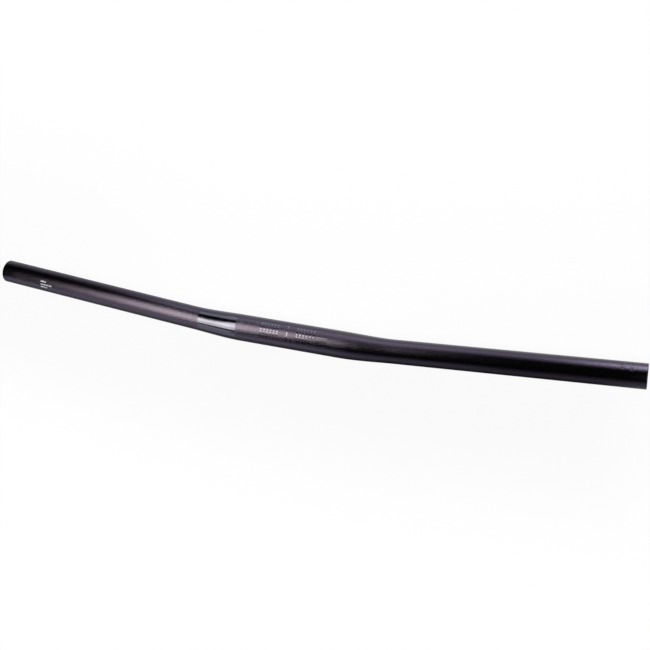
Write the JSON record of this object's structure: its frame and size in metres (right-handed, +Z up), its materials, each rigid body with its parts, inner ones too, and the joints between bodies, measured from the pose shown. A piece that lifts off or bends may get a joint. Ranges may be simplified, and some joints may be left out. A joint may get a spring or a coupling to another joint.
{
  "type": "flat bicycle handlebar",
  "caption": "Flat aluminium bicycle handlebar: a tube with a wider stem clamp at the middle, a smooth taper and a slight bend to each straight grip, and open ends.",
  "frame": {"origin": "on the tube's axis at the middle of the stem clamp", "axes": "+X along the bar, +Y the way both ends sweep, +Z up from the surface that the bar lies on"},
  "size_m": [0.6414, 0.0407, 0.0254],
  "materials": {
    "bar": "black anodised, fine satin blast"
  },
  "bodies": {
    "root": {"handlebar": "bar"}
  },
  "joints": []
}
